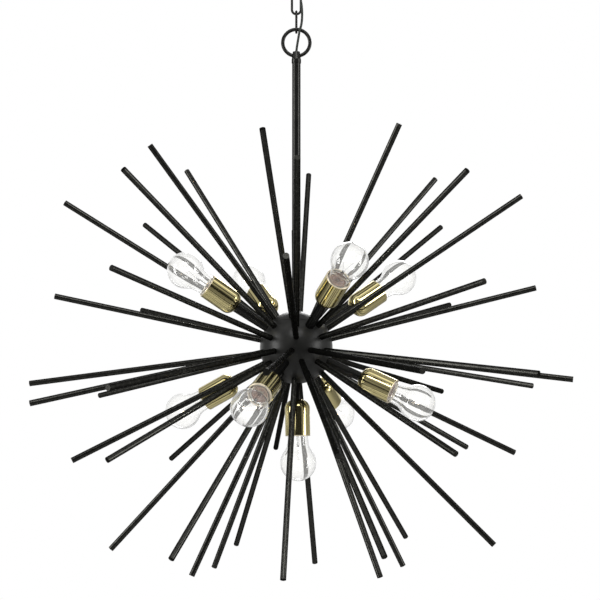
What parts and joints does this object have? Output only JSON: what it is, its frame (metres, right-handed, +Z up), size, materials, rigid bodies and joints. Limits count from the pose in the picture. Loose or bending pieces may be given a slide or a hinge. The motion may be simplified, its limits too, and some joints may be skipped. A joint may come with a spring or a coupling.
{
  "type": "burst pendant light",
  "caption": "Burst pendant light: a black ball with rods in seven rings and bulbs in brass cups, hung on a stem, ring and short chain from a canopy",
  "frame": {"origin": "on the ceiling, in the middle of the crossbar's box screw slots; the light hangs down from it", "axes": "+Z up, +X to the right and along the crossbar, -Y towards the viewer of the picture"},
  "size_m": [0.9025, 0.9015, 1.0622],
  "materials": {
    "black_metal": "smooth satin black enamel on steel",
    "black_rod": "satin black enamel on solid bar, with soft highlights along the bar",
    "polished_brass": "polished and lacquered pale brass",
    "contact_brass": "bare drawn brass",
    "zinc_steel": "bright zinc plating",
    "cap_metal": "rolled aluminium screw cap",
    "clear_glass": "clear blown glass",
    "mount_glass": "clear pressed glass with fine wires",
    "holder_plastic": "glazed pinkish grey moulding",
    "cord_jacket": "dark smooth cord jacket",
    "lead_jacket": "black lead insulation",
    "splice_plastic": "moulded twist-on connector",
    "block_plastic": "off-white moulding"
  },
  "bodies": {
    "ceiling_mount": {"crossbar": "zinc_steel", "crossbar_studs": "zinc_steel", "stud_locknuts": "zinc_steel", "canopy": "black_metal", "ball_nuts": "black_metal", "canopy_loop": "black_metal", "loop_nipple": "zinc_steel", "loop_nut": "zinc_steel", "ceiling_splices": "splice_plastic"},
    "link_1": {"link_1": "black_metal"},
    "link_2": {"link_2": "black_metal"},
    "link_3": {"link_3": "black_metal"},
    "fixture": {"supply_cord": "cord_jacket", "hanging_ring": "black_metal", "ring_collar": "black_metal", "stem_nipples": "zinc_steel", "stem": "black_metal", "hub_cap": "black_metal", "hub_bridge": "zinc_steel", "pipe_nuts": "zinc_steel", "hub_body": "black_metal", "arm_tubes": "black_metal", "arm_nipples": "zinc_steel", "socket_cups": "polished_brass", "lampholders": "holder_plastic", "holder_shells": "contact_brass", "holder_contacts": "contact_brass", "lamp_leads": "lead_jacket", "terminal_block": "block_plastic", "cap_rods": "black_rod", "short_rods": "black_rod", "long_rods": "black_rod"},
    "bulb_1": {"bulb_1_glass": "clear_glass", "bulb_1_cap": "cap_metal", "bulb_1_mount": "mount_glass"},
    "bulb_2": {"bulb_2_glass": "clear_glass", "bulb_2_cap": "cap_metal", "bulb_2_mount": "mount_glass"},
    "bulb_3": {"bulb_3_glass": "clear_glass", "bulb_3_cap": "cap_metal", "bulb_3_mount": "mount_glass"},
    "bulb_4": {"bulb_4_glass": "clear_glass", "bulb_4_cap": "cap_metal", "bulb_4_mount": "mount_glass"},
    "bulb_5": {"bulb_5_glass": "clear_glass", "bulb_5_cap": "cap_metal", "bulb_5_mount": "mount_glass"},
    "bulb_6": {"bulb_6_glass": "clear_glass", "bulb_6_cap": "cap_metal", "bulb_6_mount": "mount_glass"},
    "bulb_7": {"bulb_7_glass": "clear_glass", "bulb_7_cap": "cap_metal", "bulb_7_mount": "mount_glass"},
    "bulb_8": {"bulb_8_glass": "clear_glass", "bulb_8_cap": "cap_metal", "bulb_8_mount": "mount_glass"},
    "bulb_9": {"bulb_9_glass": "clear_glass", "bulb_9_cap": "cap_metal", "bulb_9_mount": "mount_glass"}
  },
  "joints": [
    {"name": "loop_to_link_1", "type": "hinge", "parent": "ceiling_mount", "child": "link_1", "pos_m": [0, 0, -0.06], "axis": [1, 0, 0], "range_deg": [-15, 15], "deforming": ["supply_cord"]},
    {"name": "link_1_to_link_2", "type": "hinge", "parent": "link_1", "child": "link_2", "pos_m": [0, 0, -0.0913], "axis": [0, 1, 0], "range_deg": [-15, 15], "deforming": ["supply_cord"]},
    {"name": "link_2_to_link_3", "type": "hinge", "parent": "link_2", "child": "link_3", "pos_m": [0, 0, -0.1231], "axis": [1, 0, 0], "range_deg": [-15, 15], "deforming": ["supply_cord"]},
    {"name": "link_3_to_ring", "type": "hinge", "parent": "link_3", "child": "fixture", "pos_m": [0, 0, -0.1549], "axis": [0, 1, 0], "range_deg": [-15, 15], "deforming": ["supply_cord"]},
    {"name": "bulb_1_unscrew", "type": "slide", "parent": "fixture", "child": "bulb_1", "axis": [0.3712, -0.7473, 0.5512], "range_m": [0, 0.036]},
    {"name": "bulb_2_unscrew", "type": "slide", "parent": "fixture", "child": "bulb_2", "axis": [-0.8045, -0.2355, 0.5452], "range_m": [0, 0.036]},
    {"name": "bulb_3_unscrew", "type": "slide", "parent": "fixture", "child": "bulb_3", "axis": [-0.3755, 0.7331, 0.5671], "range_m": [0, 0.036]},
    {"name": "bulb_4_unscrew", "type": "slide", "parent": "fixture", "child": "bulb_4", "axis": [0.7779, 0.3022, 0.551], "range_m": [0, 0.036]},
    {"name": "bulb_5_unscrew", "type": "slide", "parent": "fixture", "child": "bulb_5", "axis": [0.8682, -0.2714, -0.4154], "range_m": [0, 0.036]},
    {"name": "bulb_6_unscrew", "type": "slide", "parent": "fixture", "child": "bulb_6", "axis": [-0.317, -0.8253, -0.4674], "range_m": [0, 0.036]},
    {"name": "bulb_7_unscrew", "type": "slide", "parent": "fixture", "child": "bulb_7", "axis": [-0.8502, 0.2542, -0.4611], "range_m": [0, 0.036]},
    {"name": "bulb_8_unscrew", "type": "slide", "parent": "fixture", "child": "bulb_8", "axis": [0.3246, 0.8243, -0.4639], "range_m": [0, 0.036]},
    {"name": "bulb_9_unscrew", "type": "slide", "parent": "fixture", "child": "bulb_9", "axis": [0.0175, 0, -0.9998], "range_m": [0, 0.036]}
  ]
}
